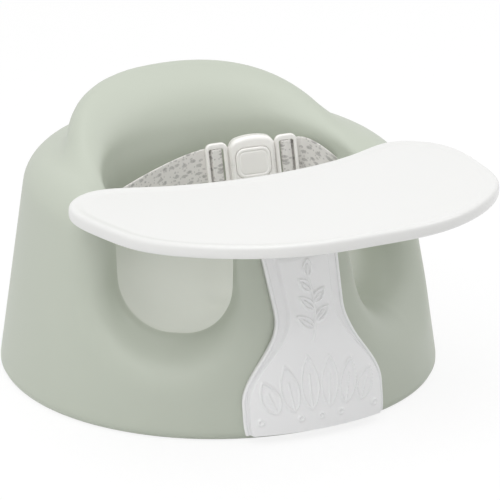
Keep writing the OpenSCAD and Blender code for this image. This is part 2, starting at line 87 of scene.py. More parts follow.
# ---------- materials ----------
class Nodes:
    """A short way to write a node tree."""

    def __init__(self, tree):
        self.tree = tree

    def add(self, kind, inputs=(), **settings):
        node = self.tree.nodes.new(kind)
        for key, value in settings.items():
            setattr(node, key, value)
        for key, value in dict(inputs).items():
            if isinstance(value, bpy.types.NodeSocket):
                self.tree.links.new(value, node.inputs[key])
            else:
                node.inputs[key].default_value = value
        return node

    def math(self, operation, *values):
        return self.add("ShaderNodeMath", dict(enumerate(values)), operation=operation).outputs[0]

    def noise(self, place, scale, detail=2.0):
        inputs = {"Vector": place, "Scale": scale, "Detail": detail}
        return self.add("ShaderNodeTexNoise", inputs).outputs[0]

    def mix(self, share, a, b):
        node = self.add("ShaderNodeMix", data_type="RGBA")
        for socket, value in ((node.inputs[0], share), (node.inputs[6], a), (node.inputs[7], b)):
            if isinstance(value, bpy.types.NodeSocket):
                self.tree.links.new(value, socket)
            else:
                socket.default_value = value if socket is node.inputs[0] else (*value, 1)
        return node.outputs[2]

    def ramp(self, value, start, end):
        """0 at start to 1 at end, eased at both."""
        inputs = {0: value, 1: start, 2: end}
        return self.add("ShaderNodeMapRange", inputs, interpolation_type="SMOOTHSTEP").outputs[0]

    def bump(self, height, strength, distance, below=None):
        inputs = {"Height": height, "Strength": strength, "Distance": distance}
        if below is not None:
            inputs["Normal"] = below
        return self.add("ShaderNodeBump", inputs).outputs[0]


def material(name, roughness, coat=0.0, specular=0.5):
    """(material, node helper, principled shader) of a new material."""
    made = bpy.data.materials.new(name)
    made.use_nodes = True
    nodes = Nodes(made.node_tree)
    shader = made.node_tree.nodes["Principled BSDF"]
    shader.inputs["Roughness"].default_value = roughness
    shader.inputs["Specular IOR Level"].default_value = specular
    shader.inputs["Coat Weight"].default_value = coat
    shader.inputs["Coat Roughness"].default_value = 0.2
    return made, nodes, shader


def foam_material():
    """Integral-skin foam: matt and leathery, its tone a little cloudy, with painted light making it paler
    low in the bowl's back.
    """
    made, n, shader = material("foam", 0.45, specular=0.55)
    place = n.add("ShaderNodeTexCoord").outputs["Object"]
    cloud = n.noise(place, 9.0, 3.0)
    tone = n.mix(cloud, (0.538, 0.578, 0.494), (0.57, 0.61, 0.524))
    axis = n.add("ShaderNodeSeparateXYZ", {0: place})
    away = n.math("SQRT", n.math("ADD", n.math("POWER", axis.outputs[0], 2.0),
                                 n.math("POWER", n.math("ADD", axis.outputs[1], 0.015), 2.0)))
    # Painted light: low in the bowl, near its middle and towards its back, the tone is mixed towards a
    # pale grey-green, as if lit from above
    low = n.ramp(axis.outputs[2], 0.17, 0.075)
    middle = n.ramp(away, 0.132, 0.112)
    back = n.ramp(axis.outputs[1], -0.085, -0.03)
    painted_bowl_light = n.math("MULTIPLY", n.math("MULTIPLY", n.math("MULTIPLY", low, middle), back), 0.75)
    n.tree.links.new(n.mix(painted_bowl_light, tone, (0.82, 0.83, 0.785)), shader.inputs["Base Color"])
    skin = n.bump(n.noise(place, 1600.0, 2.0), 0.10, 0.0002)
    swell = n.bump(n.noise(place, 45.0, 2.0), 0.05, 0.001, skin)
    n.tree.links.new(swell, shader.inputs["Normal"])
    return made


def plastic_material(name, colour, roughness, grain, coat=0.0, specular=0.5):
    """Moulded plastic with a fine mould grain and a little change of gloss."""
    made, n, shader = material(name, roughness, coat, specular)
    place = n.add("ShaderNodeTexCoord").outputs["Object"]
    cloud = n.noise(place, 14.0, 3.0)
    low = [c * 0.985 for c in colour]
    n.tree.links.new(n.mix(cloud, low, colour), shader.inputs["Base Color"])
    gloss = n.math("MULTIPLY_ADD", cloud, 0.08, roughness - 0.04)
    n.tree.links.new(gloss, shader.inputs["Roughness"])
    n.tree.links.new(n.bump(n.noise(place, 2200.0, 1.0), grain, 0.0001), shader.inputs["Normal"])
    return made


def steel_material():
    made, n, shader = material("steel", 0.3)
    shader.inputs["Metallic"].default_value = 1.0
    place = n.add("ShaderNodeTexCoord").outputs["Object"]
    n.tree.links.new(n.mix(n.noise(place, 60.0), (0.55, 0.56, 0.58), (0.66, 0.67, 0.69)),
                     shader.inputs["Base Color"])
    n.tree.links.new(n.bump(n.noise(place, 3000.0), 0.1, 0.0001), shader.inputs["Normal"])
    return made


# Each layer of the print: (cell in mm, stretch, turn, size of a shape in its cell, depth of tone)
PRINT = ((13.0, 0.5, 0.6, 0.22, 0.5), (9.0, 0.62, -0.8, 0.16, 0.4), (5.5, 1.0, 0.0, 0.12, 0.45))


def web_material():
    """Woven webbing with a selvedge, and a print of scattered grey spots and leaf shapes."""
    made, n, shader = material("webbing", 0.85, specular=0.2)
    shader.inputs["Sheen Weight"].default_value = 0.2
    shader.inputs["Sheen Roughness"].default_value = 0.5
    uv = n.add("ShaderNodeUVMap", uv_map="web").outputs[0]
    split = n.add("ShaderNodeSeparateXYZ", {0: uv})
    along, across = split.outputs[0], split.outputs[1]     # both in millimetres
    rib = n.math("SINE", n.math("MULTIPLY", along, 2 * math.pi / 1.1))
    row = n.math("SINE", n.math("MULTIPLY", across, 2 * math.pi / 1.3))
    weave = n.math("MULTIPLY", rib, row)
    base = n.mix(n.noise(uv, 0.25, 3.0), (0.86, 0.84, 0.81), (0.91, 0.89, 0.86))
    for cell, stretch, turn, size, depth in PRINT:
        # One shape near the middle of each cell, its outline a little uneven
        turned = n.add("ShaderNodeMapping", {"Vector": uv, "Rotation": (0, 0, turn),
                                             "Scale": (1 / cell, 1 / (cell * stretch), 1)})
        spots = n.add("ShaderNodeTexVoronoi", {"Vector": turned.outputs[0], "Scale": 1.0,
                                               "Randomness": 0.8}, voronoi_dimensions="2D")
        edge = n.math("MULTIPLY_ADD", n.noise(uv, 0.9, 1.0), 0.22, spots.outputs["Distance"])
        ink = n.math("MULTIPLY", n.ramp(edge, size + 0.17, size + 0.05), depth)
        base = n.mix(ink, base, (0.34, 0.33, 0.32))
    shade = n.mix(n.math("MULTIPLY_ADD", weave, 0.07, 0.07), base, (0.45, 0.44, 0.42))
    n.tree.links.new(shade, shader.inputs["Base Color"])
    selvedge = n.ramp(n.math("ABSOLUTE", across), 12.6, 13.4)
    cloth = n.bump(weave, 0.5, 0.0003)
    n.tree.links.new(n.bump(selvedge, 0.6, 0.0004, cloth), shader.inputs["Normal"])
    return made


# ---------- meshes ----------
def mix(a, b, t):
    return a + (b - a) * t


def smooth(t):
    t = np.clip(t, 0, 1)
    return t * t * (3 - 2 * t)


def new_object(name, points, faces, body, mat, uv=None):
    mesh = bpy.data.meshes.new(name)
    mesh.from_pydata([tuple(p) for p in points], [], faces)
    mesh.update()
    mesh.polygons.foreach_set("use_smooth", [True] * len(mesh.polygons))
    mesh.materials.append(mat)
    if uv is not None:
        layer = mesh.uv_layers.new(name="web")
        index = np.zeros(len(mesh.loops), int)
        mesh.loops.foreach_get("vertex_index", index)
        layer.data.foreach_set("uv", np.asarray(uv)[index].astype(np.float32).ravel())
    made = bpy.data.objects.new(name, mesh)
    bpy.context.collection.objects.link(made)
    if body:
        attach(made, body)
    return made


def shape_object(name, shape, body, mat, node, uv=None):
    """One object from a shape in millimetres, standing for its CAD node."""
    made = new_object(name, shape.all_points() * MM, shape.faces, body, mat, uv)
    mesh = bmesh.new()
    mesh.from_mesh(made.data)
    bmesh.ops.recalc_face_normals(mesh, faces=mesh.faces)
    mesh.to_mesh(made.data)
    mesh.free()
    made.data.set_sharp_from_angle(angle=math.radians(42))
    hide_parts(node)
    return made


def grid_faces(rows, count, closed=True, flip=False):
    """Quads over rows of points, each row closed on itself if asked."""
    faces = []
    for j in range(rows - 1):
        for i in range(count if closed else count - 1):
            a, b = j * count + i, j * count + (i + 1) % count
            face = (a, b, b + count, a + count)
            faces.append(face[::-1] if flip else face)
    return faces


# ---------- the foam seat ----------
# Lengths in millimetres, as in the solid model.
BASE_HALF, BASE_POWER, WALL_LEAN, BASE_ROUND = 193.5, 2.06, 0.14, 7.5
SHOULDER_HEIGHT, SHOULDER_RISE, SHOULDER_ROUND = 193.5, 0.03, 28.0
RIM_HALF, RIM_BACK, RIM_FRONT, RIM_CENTRE, RIM_POWER = 120.0, 129.0, 100.0, -17.5, 2.25
SEAT_HEIGHT, RIM_FALL, RIM_FALL_MORE, RIM_ROUND, VALLEY_ROUND = 243.5, 38.0, 28.0, 13.6, 16.0
ROLL_BACK, ROLL_SIDE = 50.0, 9.0
BOWL_FLOOR, BOWL_ROUND, BOWL_DRAFT, BOWL_REF = 50.0, 80.0, 0.14, 190.0
LEG_ANGLE, LEG_HALF, LEG_LIP, LEG_CORNER, LEG_SOFT = math.radians(35), 51.0, 75.5, 46.0, 40.0
LEG_ORIGIN, LEG_SHIFT, LEG_START, LEG_END_ROUND = 17.0, 7.0, 40.0, 50.0
LEG_CREST, LEG_FALL, LEG_CREST_ROUND, LEG_LEVEL = 158.0, 0.5, 15.0, 52.0
POMMEL_HEIGHT, POMMEL_ROUND, POMMEL_SIDE_ROUND = 176.0, 18.0, 6.0
POMMEL_REACH, POMMEL_BREAK, POMMEL_LEAN = 180.9, 90.0, 0.4
AXIS_Y = -15.0
# Where rays towards the foot of the wall and the underside aim: (beyond the foot's reach, height)
BASE_EDGE = ((2, 20.0), (3, 12.0), (3.6, 9.0), (4, 6.0), (3.8, 4.0), (3, 2.0), (1, 1.0), (-1, 0.3),
             (-4, 0.0), (-10, 0.0), (-25, 0.0), (-45, 0.0))
RELAX_ROUNDS = 24


def round_and(a, b, r):
    return np.minimum(np.maximum(a, b), -r) + np.hypot(np.maximum(a + r, 0), np.maximum(b + r, 0))


def oval(x, y, a, b, power):
    return ((np.abs(x) / a) ** power + (np.abs(y) / b) ** power) ** (1 / power)


def seat_field(p):
    """Distance of points from the foam's skin, below zero inside."""
    x, y, z = p[..., 0], p[..., 1], p[..., 2]
    wall = (oval(x, y, BASE_HALF, BASE_HALF, BASE_POWER) - 1) * BASE_HALF + WALL_LEAN * z
    drum = round_and(wall, z - SHOULDER_HEIGHT - SHOULDER_RISE * y, SHOULDER_ROUND)
    dy = y - RIM_CENTRE
    share = oval(x, dy, RIM_HALF, np.where(dy > 0, RIM_BACK, RIM_FRONT), RIM_POWER)
    out = (share - 1) * RIM_HALF
    back = dy / RIM_BACK / (share ** 5 + 0.5 ** 5) ** 0.2
    crest = SEAT_HEIGHT - RIM_FALL * (1 - back) - RIM_FALL_MORE * (1 - back) ** 2
    curtain = round_and(out - RIM_ROUND, z - crest, RIM_ROUND)
    roll = ROLL_SIDE + (ROLL_BACK - ROLL_SIDE) * np.clip(back, 0, 1) ** 1.5
    bowl = round_and(out + roll + BOWL_DRAFT * (BOWL_REF - z), BOWL_FLOOR - z, BOWL_ROUND)
    body = -round_and(-drum, -curtain, VALLEY_ROUND)
    f = round_and(body, -bowl, roll)
    ax, ry = np.abs(x), y - LEG_ORIGIN
    s, c = math.sin(LEG_ANGLE), math.cos(LEG_ANGLE)
    along, across = ax * s - ry * c, ax * c + ry * s - LEG_SHIFT
    behind = np.maximum(LEG_CREST - along, 0)
    fall = LEG_LIP - 1.3 - LEG_FALL * (np.hypot(behind, LEG_CREST_ROUND) - LEG_CREST_ROUND)
    floor = (fall + LEG_LEVEL + np.hypot(fall - LEG_LEVEL, 12.0)) / 2
    trough = round_and(np.abs(across) - LEG_HALF, floor - z, LEG_CORNER)
    f = round_and(f, -round_and(trough, LEG_START - along, LEG_END_ROUND), LEG_SOFT)
    brow = np.hypot(x, y) - POMMEL_REACH + POMMEL_LEAN * (z - POMMEL_BREAK)
    pommel = round_and(z - POMMEL_HEIGHT, brow, POMMEL_ROUND)
    waste = np.maximum(np.maximum(-pommel, across), LEG_START - along)
    f = round_and(f, -waste, POMMEL_SIDE_ROUND)
    return round_and(f, -z, BASE_ROUND)


def seat_slope(p, f):
    """Gradient of the field."""
    step = 0.05
    return np.stack([(seat_field(p + step * e) - f) / step for e in np.eye(3)], -1)


def seat_rings(turns, bowl_rays, wall_rays):
    """Rows of points on the skin in upright planes, from the bowl's middle over the rim to the base.

    Rays fan out from an eye inside the bowl to its floor and the foot of its wall, and others
    leave a spine in the middle of the wall, turning from inward to upright and on to outward.
    """
    foot, reach, eye, low_share = 30.0, 128.0, 120.0, 0.5
    count = len(turns)
    sine, cosine = np.sin(turns), np.cos(turns)

    def point(r, z):
        r, z = np.broadcast_to(r, count), np.broadcast_to(z, count)
        return np.stack([r * sine, AXIS_Y - r * cosine, z], -1)

    def meet(p, dr, dz, steps=34):
        dr, dz = np.broadcast_to(dr, count), np.broadcast_to(dz, count)
        size = np.hypot(dr, dz)
        d = np.stack([dr / size * sine, -dr / size * cosine, dz / size], -1)
        for _ in range(steps):
            p = p - d * 0.9 * seat_field(p)[:, None]
        return p

    def away(p):
        return np.hypot(p[:, 0], p[:, 1] - AXIS_Y)

    def swing(t):
        return max(0.0, (t - 0.45) / 0.55) ** 2

    climb = np.maximum(meet(point(reach, foot), 0.0, 1.0, 44)[:, 2] - 20 - foot, 6)
    low = np.radians(115 + 55 * np.minimum(climb / 70, 1))
    rim = away(meet(point(reach, foot), 1.0, 0.0)) - reach
    inner = []
    for t in np.arange(math.ceil(low_share * wall_rays), wall_rays + 1) / wall_rays:
        a = mix(low, math.pi / 2, swing(t))
        inner.append(meet(point(reach, foot + climb * t), np.cos(a), np.sin(a)))
    shelf, height = away(inner[0]), inner[0][:, 2]
    rows = []
    for i in range(1, bowl_rays + 1):
        run = (shelf + height - BOWL_FLOOR) * i / (bowl_rays + 1)
        r = np.minimum(run, shelf)
        rows.append(meet(point(0, eye), -r, eye - BOWL_FLOOR - run + r))
    rows += inner
    for t in np.arange(wall_rays - 1, -1, -1) / wall_rays:
        a = math.pi / 2 * swing(t)
        rows.append(meet(point(reach, foot + climb * t), math.cos(a), math.sin(a)))
    for dr, z in BASE_EDGE:
        rows.append(meet(point(reach, foot), rim + dr, z - foot))
    return np.stack(rows, 1)


def spread_turns(count):
    """Angles of the planes, closer together where the skin changes fast."""
    coarse = np.radians(np.arange(0, 360.01, 1.0))
    q = seat_rings(coarse, 6, 12)
    step = np.linalg.norm(np.diff(q, axis=0), axis=2).max(1) + 3.0
    step = np.convolve(np.concatenate([step[-2:], step, step[:2]]), np.ones(5) / 5, "valid")
    run = np.concatenate([[0], np.cumsum(step)])
    return np.interp(np.arange(count) * run[-1] / count, run, coarse)


def make_seat(mat):
    q = seat_rings(spread_turns(720), 50, 60)
    for _ in range(RELAX_ROUNDS):
        beside = np.roll(q, 1, 0)[:, 1:-1] + np.roll(q, -1, 0)[:, 1:-1]
        inner = 0.25 * (beside + q[:, 2:] + q[:, :-2])
        q[:, 1:-1] += 0.6 * (inner - q[:, 1:-1])
        f = seat_field(q)
        g = seat_slope(q, f)
        move = f[..., None] * g / np.maximum((g * g).sum(-1, keepdims=True), 0.2)
        q[:, :-4] -= np.clip(move, -3, 3)[:, :-4]
    columns, rows = q.shape[:2]
    points = np.concatenate([q.reshape(-1, 3), [[0, AXIS_Y, q[:, 0, 2].mean()], [0, AXIS_Y, 0]]])
    faces = grid_faces(columns + 1, rows, closed=False)
    total = columns * rows
    faces = [tuple(i % total for i in face)[::-1] for face in faces]
    for j in range(columns):
        a, b = j * rows, (j + 1) % columns * rows
        faces += [(total, b, a), (total + 1, a + rows - 1, b + rows - 1)]
    seat = new_object("foam_seat", points * MM, faces, "seat", mat)
    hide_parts("seat_body")


# ---------- shapes ----------
# Lengths are in millimetres until an object is made.
def unit(v):
    return v / np.linalg.norm(v, axis=-1, keepdims=True)


def closed_spline(knots, per):
    """Points on a closed curve of even curvature through the knots."""
    count = len(knots)
    gap = np.linalg.norm(np.roll(knots, -1, 0) - knots, axis=1) ** 0.75
    system, right = np.zeros((count, count)), np.zeros((count, 2))
    for i in range(count):
        before, after = gap[i - 1], gap[i]
        system[i, i - 1] += before
        system[i, i] += 2 * (before + after)
        system[i, (i + 1) % count] += after
        rise, rise_before = knots[(i + 1) % count] - knots[i], knots[i] - knots[i - 1]
        right[i] = 6 * (rise / after - rise_before / before)
    bend = np.linalg.solve(system, right)
    out = []
    for i in range(count):
        h, a, b = gap[i], knots[i], knots[(i + 1) % count]
        t = np.linspace(0, h, per, endpoint=False)[:, None]
        p, q = bend[i], bend[(i + 1) % count]
        out.append(p * (h - t) ** 3 / (6 * h) + q * t ** 3 / (6 * h)
                   + (a / h - p * h / 6) * (h - t) + (b / h - q * h / 6) * t)
    return np.concatenate(out)


def rounded_outline(width, height, radius, steps=8, side=8):
    """Outline of a rounded rectangle about the middle, with one count of points for any size."""
    points = []
    for sx, sy, start in ((1, 1, 0), (-1, 1, 90), (-1, -1, 180), (1, -1, 270)):
        centre = np.array([sx * (width / 2 - radius), sy * (height / 2 - radius)])
        turn = np.radians(start + np.linspace(0, 90, steps + 1))
        points.append(centre + radius * np.stack([np.cos(turn), np.sin(turn)], 1))
    out = []
    for i in range(4):
        last, following = points[i][-1], points[(i + 1) % 4][0]
        out += [points[i], mix(last, following, np.linspace(0, 1, side + 1)[1:-1, None])]
    return np.concatenate(out)


class Shape:
    """Points and faces of closed skins that make up one piece."""

    def __init__(self):
        self.points, self.faces, self.count = [], [], 0

    def loft(self, rings, loop=False):
        """Skin over rings of equal counts, closed at its ends or on itself."""
        rings = np.asarray(rings, float)
        rows, size = rings.shape[:2]
        base = self.count
        self.points.append(rings.reshape(-1, 3))
        for j in range(rows if loop else rows - 1):
            a, b = base + j * size, base + (j + 1) % rows * size
            self.faces += [(a + i, a + (i + 1) % size, b + (i + 1) % size, b + i)
                           for i in range(size)]
        self.count += rows * size
        if not loop:
            ends = [rings[0].mean(0), rings[-1].mean(0)]
            self.points.append(np.array(ends))
            last = base + (rows - 1) * size
            self.faces += [(base + (i + 1) % size, base + i, self.count) for i in range(size)]
            self.faces += [(last + i, last + (i + 1) % size, self.count + 1) for i in range(size)]
            self.count += 2
        return self

    def lathe(self, place, profile, steps=32):
        """Skin turned round an upright axis from (radius, height) pairs, closed at its ends."""
        turn = np.linspace(0, 2 * math.pi, steps, endpoint=False)
        return self.loft([np.stack([place[0] + r * np.cos(turn), place[1] + r * np.sin(turn),
                                    np.full(steps, z)], 1) for r, z in profile])

    def all_points(self):
        return np.concatenate(self.points)


# ---------- the play tray ----------
TRAY_HALF = [[0, -96.5], [96, -74.8], [146.9, -54.4], [178.7, -78], [181.2, -151.4],
             [165.5, -209.1], [72.6, -289.4], [0, -298.6]]
TRAY_MIDDLE = np.array([0.0, -180.0])
TRAY_HEIGHT, TRAY_RISE, TRAY_CROWN = 205.5, 0.058, 4.7
# The skin's section from the underside round the rolled edge to the face: (inset, depth)
TRAY_EDGE = [(7.6, 3.0), (6.2, 3.1), (5.0, 3.5), (4.3, 4.3), (3.8, 5.6), (3.5, 7.2), (3.2, 8.6),
             (2.8, 9.5), (2.2, 10.1), (1.5, 10.2), (0.9, 9.8), (0.45, 8.9), (0.15, 7.6), (0.0, 6.0),
             (0.0, 4.4), (0.1, 3.0), (0.3, 1.8), (0.7, 0.8), (1.3, 0.05), (2.1, -0.45), (3.2, -0.75),
             (4.6, -0.8), (6.2, -0.6), (8.0, -0.25), (9.5, 0.1), (11.0, 0.4), (12.5, 0.58),
             (14.0, 0.62)]
BOSSES = ((-20, -132), (20, -132), (-18, -117), (18, -117))
BOSS_FOOT = 181.6


def tray_face(x, y):
    return TRAY_HEIGHT - TRAY_RISE * (y + 130) - TRAY_CROWN * (x / 190) ** 2


def make_tray(mat):
    half = np.array(TRAY_HALF, float)
    outline = closed_spline(np.concatenate([half, half[-2:0:-1] * [-1, 1]]), 18)
    along = unit(np.roll(outline, -1, 0) - np.roll(outline, 1, 0))
    inward = np.stack([along[:, 1], -along[:, 0]], 1)

    def ring(inset, depth, share=1.0):
        p = mix(TRAY_MIDDLE, outline + inset * inward, share)
        return np.column_stack([p, tray_face(p[:, 0], p[:, 1]) - depth])

    first, last = TRAY_EDGE[0], TRAY_EDGE[-1]
    rings = [ring(*first, share) for share in (0.02, 0.15, 0.3, 0.45, 0.6, 0.75, 0.87, 0.95)]
    rings += [ring(*pair) for pair in TRAY_EDGE]
    rings += [ring(*last, share) for share in (0.97, 0.9, 0.8, 0.65, 0.5, 0.35, 0.2, 0.08, 0.02)]
    shape = Shape().loft(rings)
    for x, y in BOSSES:
        top = tray_face(x, y) - 3
        shape.lathe((x, y), [
            (0.01, BOSS_FOOT + 14), (1.4, BOSS_FOOT + 14), (1.4, BOSS_FOOT + 0.5), (1.9, BOSS_FOOT),
            (4.1, BOSS_FOOT), (4.5, BOSS_FOOT + 0.4), (4.6, top - 4), (5.0, top - 1.8),
            (5.9, top - 0.6), (7.2, top - 0.1), (7.2, top + 0.6), (0.01, top + 0.6)])
    return shape_object("play_tray", shape, "tray", mat, "tray_top")


# ---------- the tray's stem ----------
STEM_LOW, STEM_FOOT, STEM_WAIST = 6.8, 66.3, 32.0
STEM_WALL, STEM_FLANGE, STEM_PANEL, STEM_LIP, PLATE_WALL = 3.0, 5.0, 4.5, 1.5, 5.0
STEM_GAP = 0.4
MOTIF_HEIGHT, MOTIF_FLAT, MOTIF_SLOPE = 1.3, 0.25, 1.2
PANEL_POINTS = 75       # across half the panel
PLATE_UNDER, PLATE_END = POMMEL_HEIGHT + 0.3, 111.0
LEAN_TURN = math.degrees(math.atan(POMMEL_LEAN))
BEND_Z = POMMEL_HEIGHT - POMMEL_ROUND


def front_reach(z):
    """Distance of the pommel's front from the middle, with a soft turn where it starts to lean."""
    low, high = BASE_HALF - WALL_LEAN * z, POMMEL_REACH - POMMEL_LEAN * (z - POMMEL_BREAK)
    return (low + high - np.sqrt((low - high) ** 2 + 1.0)) / 2 + 0.1


BEND_R = front_reach(BEND_Z) - POMMEL_ROUND / math.cos(math.radians(LEAN_TURN))


def stem_rows():
    """Rows of (distance of the back face, height, tilt of the normal in degrees, panel share)."""
    rows = []
    for z in np.concatenate([[STEM_LOW, STEM_LOW + 0.5], np.arange(8.0, 151.0, 0.75)]):
        tilt = mix(4, LEAN_TURN, smooth((z - 76) / 24))
        rows.append((front_reach(z) + STEM_GAP, z, tilt, smooth((158 - z) / 12)))
    for z in np.arange(151.5, BEND_Z, 1.5):
        rows.append((front_reach(z) + STEM_GAP, z, LEAN_TURN, smooth((158 - z) / 12)))
    for a in np.linspace(LEAN_TURN, 90, 18):
        t = math.radians(a)
        rows.append((BEND_R + (POMMEL_ROUND + STEM_GAP) * math.cos(t),
                     BEND_Z + (POMMEL_ROUND + 0.3) * math.sin(t), a, 0))
    for r in np.linspace(BEND_R, PLATE_END, 8)[1:]:
        rows.append((r, PLATE_UNDER, 90, 0))
    return rows


def stem_half(z):
    """Half the stem's width at a height."""
    return (STEM_WAIST + (STEM_FOOT - STEM_WAIST) * smooth((105 - z) / 72)
            - 3.5 * np.maximum(0, 1 - z / 18) ** 2 + 0.07 * np.maximum(0, z - 110))


def leaf(base, tip, width):
    """Outline of a leaf with its midrib, as lists of points."""
    base, tip = np.array(base, float), np.array(tip, float)
    t = np.linspace(0, 1, 15)[:, None]
    side = np.array([base[1] - tip[1], tip[0] - base[0]]) / np.linalg.norm(tip - base)
    spine = mix(base, tip, t)
    bulge = side * width / 2 * np.sin(math.pi * t ** 0.85) ** 0.8
    return [spine + bulge, spine - bulge, spine[:10]]


def relief_lines():
    """The moulded motif: a sprig above, and a row of broad leaves at the foot."""
    t = np.linspace(0, 1, 20)
    lines = [np.stack([-3 + 5 * np.sin(2.6 * t), 84 + 50 * t], 1)]
    for base, tip in (((-1, 92), (-15, 102)), ((1, 97), (14, 107)), ((1.5, 106), (-10, 117)),
                      ((2, 112), (13, 121)), ((1, 121), (-8, 131)), ((0, 133), (2, 146))):
        lines += leaf(base, tip, 7)
    for x, lean, tall in ((-44, -5, 28), (-27, -3, 40), (-9, -1, 47), (9, 1, 44), (27, 3, 38),
                          (44, 5, 26)):
        lines += leaf((x * 0.86, 25), (x + lean, 25 + tall), 15)
    for x in (-52, -18, 0, 18, 52):
        a = np.linspace(0, 2 * math.pi, 13)
        lines.append(np.stack([x + 2.2 * np.cos(a), 18.5 + 2.2 * np.sin(a)], 1))
    return lines


def relief(s, z):
    """Height of the motif over the panel at distance s from the middle and height z."""
    a = np.concatenate([line[:-1] for line in relief_lines()])
    b = np.concatenate([line[1:] for line in relief_lines()])
    p = np.stack([s, z], -1).reshape(-1, 1, 2)
    far = np.full(len(p), 99.0)
    for i in range(0, len(a), 64):
        u, v = a[i:i + 64], b[i:i + 64] - a[i:i + 64]
        t = np.clip(((p - u) * v).sum(-1) / np.maximum((v * v).sum(-1), 1e-6), 0, 1)
        far = np.minimum(far, np.linalg.norm(p - u - t[..., None] * v, axis=-1).min(1))
    return (MOTIF_HEIGHT * (1 - smooth((far - MOTIF_FLAT) / MOTIF_SLOPE))).reshape(np.shape(s))


def stem_section(z, tilt, panel):
    """Points (across, outward) round the stem at one height, and how many of them are its right front."""
    half = stem_half(min(z, BEND_Z))
    foot = smooth((112 - z) / 55)
    flange, slope = mix(9.5, 4.0, foot), mix(3.6, 2.5, foot)
    share = smooth((tilt - LEAN_TURN) / 50)
    wall = mix(STEM_WALL, PLATE_WALL, share)
    rise, base = STEM_PANEL * panel, (STEM_FLANGE - STEM_WALL) * (1 - share)
    face, lip = base + wall, base + wall + STEM_LIP * (1 - share)
    edge = max(half - flange - slope, 6)
    front = [(edge * t, face + rise + 0.4 * panel * (1 - t)) for t in np.linspace(0, 1, PANEL_POINTS)]
    front += [(edge + slope * t, face + rise * (1 - smooth(t))) for t in np.linspace(0, 1, 9)[1:]]
    front += [(mix(half - flange, half - 3.4, t), face) for t in (0.3, 0.6, 0.85, 1.0)]
    for a in np.linspace(math.pi, 0, 11):
        # The bead along the edge, which doesn't sink below the face on its inner side
        out = lip - 1.5 + 1.5 * math.sin(a)
        if a >= 1.6 and math.sin(a) <= 0.75:
            out = max(face, out)
        front.append((half - 1.5 + 1.5 * math.cos(a), out))
    front += [(half, 0.5), (half - 0.15, 0.15), (half - 0.5, 0)]
    under = base + 0.02
    back = [(half - 2.4, 0), (half - 2.5, base * 0.6), (half - 3.0, base * 0.95), (half - 4, under),
            (half - flange - 1, under), (edge + slope * 0.3, under), (edge - 0.5, base + rise + 0.02)]
    back += [(edge * t, base + rise + 0.02) for t in (0.75, 0.5, 0.25, 0.0)]
    right = np.array(front + back)
    return np.concatenate([right, right[1:-1][::-1] * [-1, 1]]), len(front)


def bridge(points, outer, inner, order):
    """Triangles between two lines of point numbers, always across the shorter gap."""
    def gap(a, b):
        return np.linalg.norm(points[a] - points[b])

    faces = []
    i = j = 0
    while i < len(outer) - 1 or j < len(inner) - 1:
        ahead = gap(outer[min(i + 1, len(outer) - 1)], inner[j])
        behind = gap(outer[i], inner[min(j + 1, len(inner) - 1)])
        if j == len(inner) - 1 or (i < len(outer) - 1 and ahead <= behind):
            face = (outer[i], outer[i + 1], inner[j])
            i += 1
        else:
            face = (outer[i], inner[j + 1], inner[j])
            j += 1
        if len(set(face)) == 3:
            faces.append(face[::order])
    return faces


def make_stem(mat):
    spots = []
    for r, z, tilt, panel in stem_rows():
        section, front = stem_section(z, tilt, panel)
        size = len(section)
        spots.append((section[:, 0], np.full(size, z), np.full(size, r), np.full(size, tilt),
                      section[:, 1]))
    s, z, r, tilt, t = (np.array([spot[i] for spot in spots]) for i in range(5))
    on_panel = np.zeros(size, bool)
    on_panel[:PANEL_POINTS] = True
    on_panel[-(PANEL_POINTS - 1):] = True
    t = t + np.where(on_panel, relief(s, z) * smooth((152 - z) / 6), 0)
    turn = s / r
    tip = np.radians(tilt)
    reach = (r + t * np.cos(tip)) / oval(np.sin(turn), np.cos(turn), 1, 1, BASE_POWER)
    points = np.stack([reach * np.sin(turn), -reach * np.cos(turn), z + t * np.sin(tip)], -1)
    rows = len(points)
    points = points.reshape(-1, 3)
    shape = Shape()
    shape.points.append(points)
    shape.faces = grid_faces(rows, size)
    # At each end the points of the face are joined to the nearest points of the back
    count = (size + 2) // 2
    for start, order in ((0, 1), ((rows - 1) * size, -1)):
        right = [start + i for i in range(count)]
        left = [start] + [start + size - i for i in range(1, count)]
        for half in (right, left):
            shape.faces += bridge(points, half[:front], half[front - 1:][::-1], order)
    return shape_object("tray_stem_moulding", shape, "tray", mat, "tray_stem")


# ---------- the buckle and its tongues ----------
# In the buckle's own frame +X runs along the belt to the child's left, +Y away from the face and +Z up.
BUCKLE_PLACE = np.array([47.7, 27.3, 170.0])
BUCKLE_TURN = [math.radians(a) for a in (-8, -4.5, -16)]
BUCKLE_WIDTH, BUCKLE_HEIGHT, BUTTON_WIDTH, BUTTON_HEIGHT = 42.0, 48.0, 31.0, 27.0
HOUSING_CORNER, HOUSING_DOME, HOUSING_TAPER = 7.5, 4.0, 0.03
# The button from the middle of its face over the pressed ring to its skirt: (inset, y)
BUTTON_PROFILE = ((10, -8.85), (7.5, -8.9), (5, -8.95), (4.2, -8.93), (3.8, -8.85), (3.5, -8.7),
                  (3.2, -8.62), (2.9, -8.7), (2.6, -8.9), (2.2, -9.05), (1.6, -9.1), (1.0, -9.05),
                  (0.4, -8.85), (0.0, -8.5), (-0.15, -8.0), (-0.15, -5.72), (-2.0, -5.7),
                  (-2.0, -4.1), (5, -4.1))


def placed(points, at=True):
    points = np.asarray(points, float)
    a, b, c = BUCKLE_TURN
    x, y, z = points[..., 0], points[..., 1], points[..., 2]
    y, z = y * math.cos(a) - z * math.sin(a), y * math.sin(a) + z * math.cos(a)
    x, z = x * math.cos(b) + z * math.sin(b), -x * math.sin(b) + z * math.cos(b)
    x, y = x * math.cos(c) - y * math.sin(c), x * math.sin(c) + y * math.cos(c)
    return np.stack([x, y, z], -1) + (BUCKLE_PLACE if at else 0)


